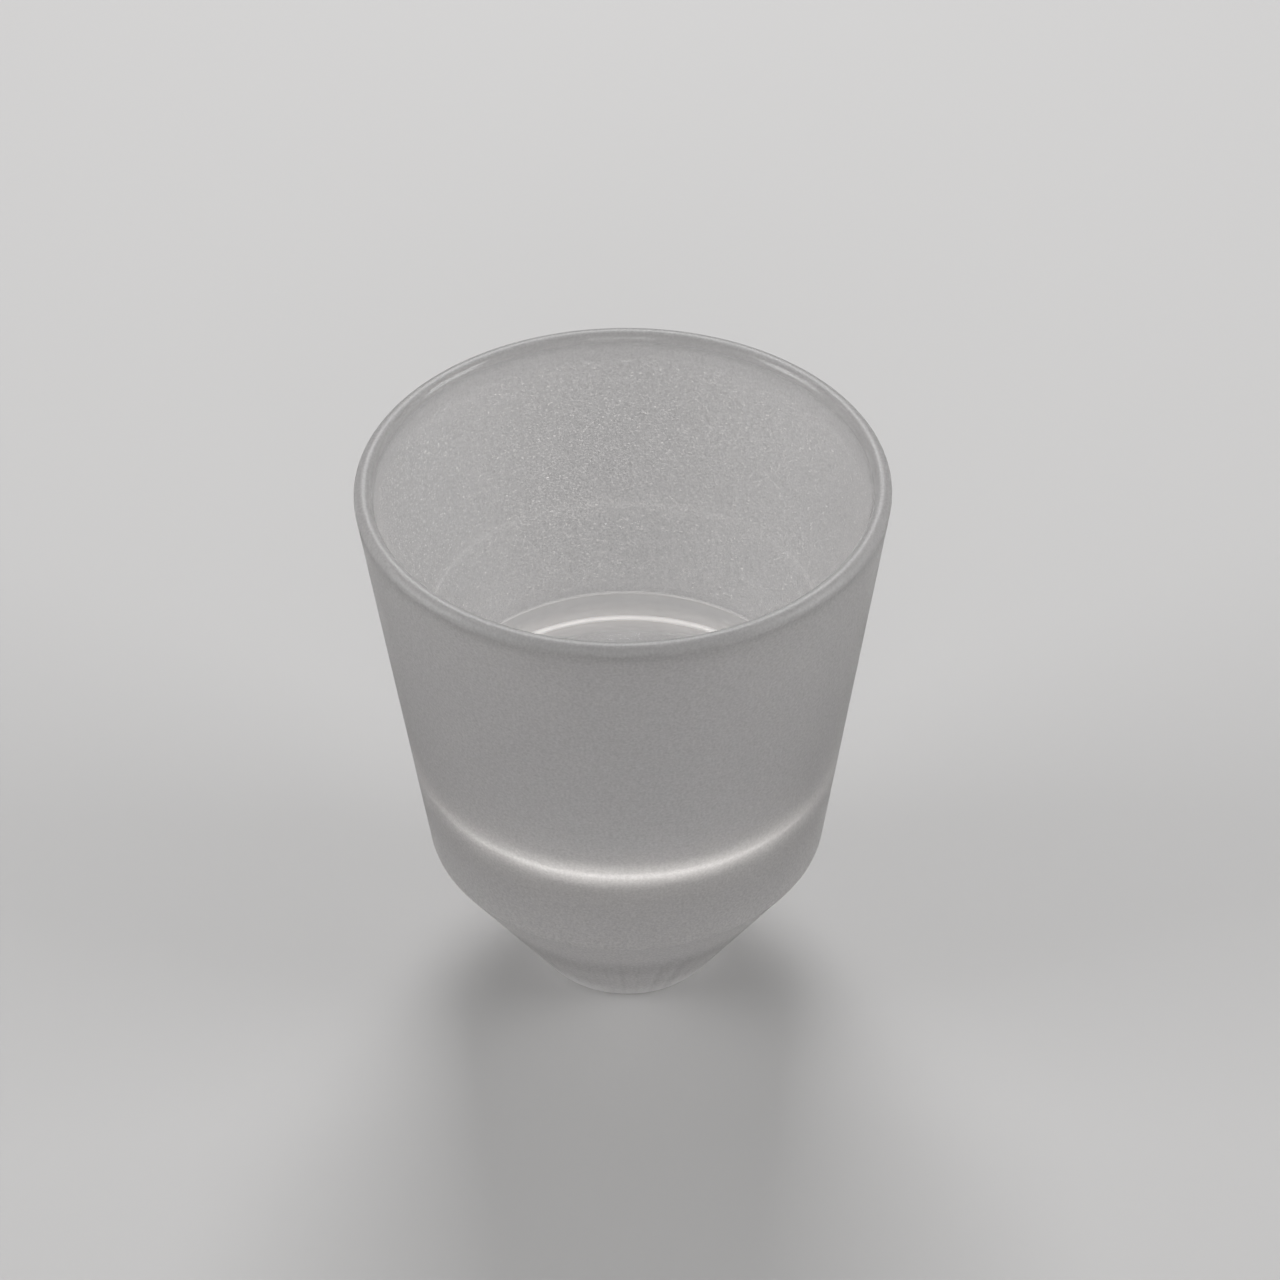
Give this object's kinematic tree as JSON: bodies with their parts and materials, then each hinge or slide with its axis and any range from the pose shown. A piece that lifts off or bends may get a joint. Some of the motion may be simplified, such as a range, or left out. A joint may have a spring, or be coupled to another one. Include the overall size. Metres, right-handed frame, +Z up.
{
  "type": "bathroom tumbler",
  "caption": "Round bathroom tumbler of pressed glass: tapered cup with a thick floor, crisp shoulder and inverted-cone foot, satin outside and clear inside.",
  "frame": {"origin": "centre of the foot's underside, level with the surface the tumbler stands on", "axes": "+Z up along the tumbler's axis, out of its mouth; X and Y are free, because the tumbler is round"},
  "size_m": [0.077, 0.077, 0.09],
  "materials": {
    "satin_glass": "acid-etched satin outside, clear and smooth inside, fire-polished rim"
  },
  "bodies": {
    "root": {"glass": "satin_glass"}
  },
  "joints": []
}
